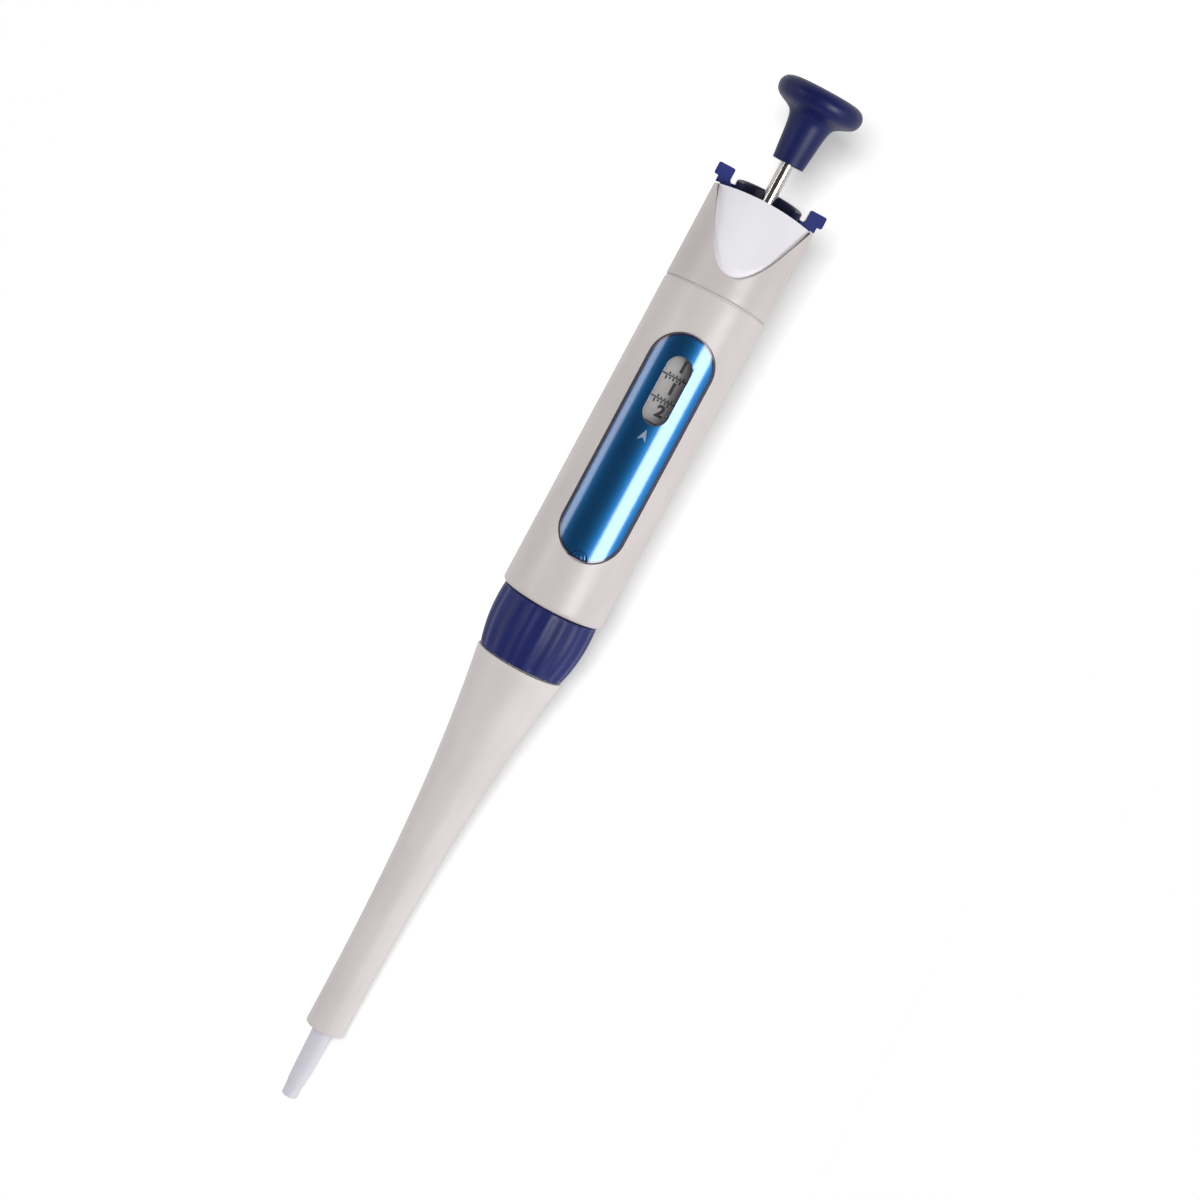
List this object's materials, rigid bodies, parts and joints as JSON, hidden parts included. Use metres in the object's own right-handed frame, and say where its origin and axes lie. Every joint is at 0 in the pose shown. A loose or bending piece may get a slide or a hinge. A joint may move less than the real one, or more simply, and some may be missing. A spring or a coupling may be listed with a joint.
{
  "type": "adjustable micropipette",
  "caption": "Hand-held adjustable micropipette with thumb knob, tip ejector pad, volume counter window, knurled ring, tapered ejector sleeve and nozzle.",
  "frame": {"origin": "centre of the nozzle's end face, where the pipette's axis leaves it", "axes": "+Z along the pipette's axis towards the thumb knob, -Y out of the front with the counter window, +X to the viewer's right"},
  "size_m": [0.0254, 0.0403, 0.245],
  "materials": {
    "grey_plastic": "light warm grey, satin",
    "pad_plastic": "white, satin",
    "navy_plastic": "deep navy, fine texture",
    "dark_navy_plastic": "nearly black navy",
    "blue_plastic": "blue, satin",
    "label_blue": "glossy blue film",
    "lilac_plastic": "pale lilac, slightly translucent",
    "clear_plastic": "clear",
    "drum_plastic": "matt light grey",
    "inner_plastic": "white engineering plastic",
    "steel": "polished stainless steel",
    "brass": "machined",
    "seal_rubber": "black, soft"
  },
  "bodies": {
    "pipette_body": {"tip_cone": "lilac_plastic", "piston_seal": "seal_rubber", "seal_retainer": "inner_plastic", "piston_bush": "brass", "cone_socket": "inner_plastic", "spring_housing": "inner_plastic", "blowout_spring": "steel", "return_spring": "steel", "spindle_nut": "brass", "top_bridge": "inner_plastic", "counter_base": "inner_plastic", "counter_frame": "inner_plastic", "carry_pin": "steel", "handle_shell": "grey_plastic", "label_plate": "label_blue", "window_lens": "clear_plastic", "upper_cap": "grey_plastic", "top_plate": "blue_plastic", "neck_collar": "dark_navy_plastic", "finger_rest": "grey_plastic", "finger_rest_screw": "steel", "ejector_spring": "steel"},
    "calibration": {"calibration_nut": "brass"},
    "setting": {"number_drum_units": "drum_plastic"},
    "tens": {"number_drum_tens": "drum_plastic"},
    "hundreds": {"number_drum_hundreds": "drum_plastic"},
    "carry_lower": {"carry_pinion_lower": "brass"},
    "carry_upper": {"carry_pinion_upper": "brass"},
    "spindle": {"volume_spindle": "steel"},
    "plunger": {"thumb_knob": "navy_plastic", "plunger_rod": "steel", "stop_collar": "inner_plastic", "piston": "steel"},
    "blowout": {"blowout_plate": "steel"},
    "ejector": {"thumb_pad": "pad_plastic", "ejector_yoke": "inner_plastic", "ejector_strip_left": "steel", "ejector_strip_right": "steel", "ejector_hub": "inner_plastic"},
    "ring": {"adjust_ring": "navy_plastic"},
    "sleeve": {"ejector_sleeve": "grey_plastic"}
  },
  "joints": [
    {"name": "volume_setting", "type": "hinge", "parent": "pipette_body", "child": "setting", "pos_m": [0, 0, 0.17], "axis": [0, 0, 1], "range_deg": [-3313, 3169]},
    {"name": "tens_turn", "type": "hinge", "parent": "pipette_body", "child": "tens", "pos_m": [0, 0, 0.1755], "axis": [0, 0, 1], "range_deg": [-332, 318]},
    {"name": "hundreds_turn", "type": "hinge", "parent": "pipette_body", "child": "hundreds", "pos_m": [0, 0, 0.181], "axis": [0, 0, 1], "range_deg": [-34, 32]},
    {"name": "carry_lower_turn", "type": "hinge", "parent": "pipette_body", "child": "carry_lower", "pos_m": [0, 0.00485, 0.173], "axis": [0, 0, 1], "range_deg": [-830, 794]},
    {"name": "carry_upper_turn", "type": "hinge", "parent": "pipette_body", "child": "carry_upper", "pos_m": [0, 0.00485, 0.1782], "axis": [0, 0, 1], "range_deg": [-84, 80]},
    {"name": "volume_rise", "type": "slide", "parent": "setting", "child": "spindle", "axis": [0, 0, 1], "range_m": [-0.00598, 0.00572]},
    {"name": "plunger_press", "type": "slide", "parent": "spindle", "child": "plunger", "axis": [0, 0, -1], "range_m": [0, 0.00978], "stiffness_N_per_m": 300, "springref_m": -0.01, "deforming": ["return_spring"]},
    {"name": "blowout_give", "type": "slide", "parent": "pipette_body", "child": "blowout", "axis": [0, 0, -1], "range_m": [0, 0.0025], "deforming": ["blowout_spring"]},
    {"name": "ejector_press", "type": "slide", "parent": "pipette_body", "child": "ejector", "axis": [0, 0, -1], "range_m": [0, 0.005], "stiffness_N_per_m": 400, "springref_m": -0.005, "deforming": ["ejector_spring"]},
    {"name": "ring_turn", "type": "hinge", "parent": "ejector", "child": "ring", "pos_m": [0, 0, 0.116], "axis": [0, 0, 1], "range_deg": [0, 721]},
    {"name": "sleeve_lower", "type": "slide", "parent": "ejector", "child": "sleeve", "axis": [0, 0, -1], "range_m": [0, 0.004]},
    {"name": "calibration_turn", "type": "hinge", "parent": "pipette_body", "child": "calibration", "pos_m": [0, 0, 0.1972], "axis": [0, 0, 1], "range_deg": [-180, 180]}
  ],
  "couplings": [
    {"joint": "volume_setting", "follows": "volume_rise", "rad_per_m": 9666.4},
    {"joint": "tens_turn", "follows": "volume_rise", "rad_per_m": 966.64},
    {"joint": "hundreds_turn", "follows": "volume_rise", "rad_per_m": 96.664},
    {"joint": "carry_lower_turn", "follows": "volume_rise", "rad_per_m": 2416.6},
    {"joint": "carry_upper_turn", "follows": "volume_rise", "rad_per_m": 241.66},
    {"joint": "blowout_give", "follows": "plunger_press", "ratio": 0.2556},
    {"joint": "ring_turn", "follows": "sleeve_lower", "rad_per_m": 3141.6}
  ]
}
